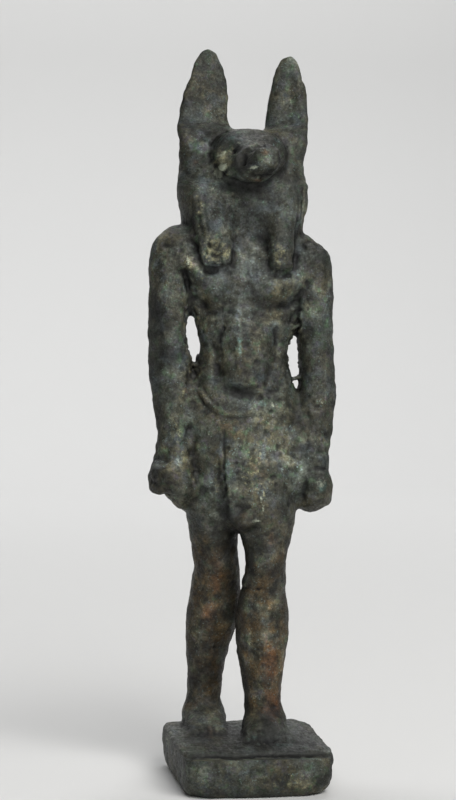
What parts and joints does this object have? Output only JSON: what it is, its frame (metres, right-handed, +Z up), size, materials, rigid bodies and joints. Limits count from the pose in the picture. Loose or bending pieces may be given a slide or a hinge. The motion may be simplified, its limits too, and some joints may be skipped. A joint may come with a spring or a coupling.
{
  "type": "striding jackal-headed god statuette",
  "caption": "Small cast bronze figure of a jackal-headed man striding with arms at the sides, on its own oblong plinth.",
  "frame": {"origin": "centre of the bounding box at the underside of the plinth", "axes": "+Z up; the figure looks along -Y; its own left hand and its advanced left leg are on the +X side"},
  "size_m": [0.0394, 0.038, 0.1494],
  "materials": {
    "patinated_bronze": "dark grey-green and brown patina with rust-brown, turquoise and yellow-green spots, matt and finely pitted"
  },
  "bodies": {
    "root": {"anubis_statuette": "patinated_bronze"}
  },
  "joints": []
}
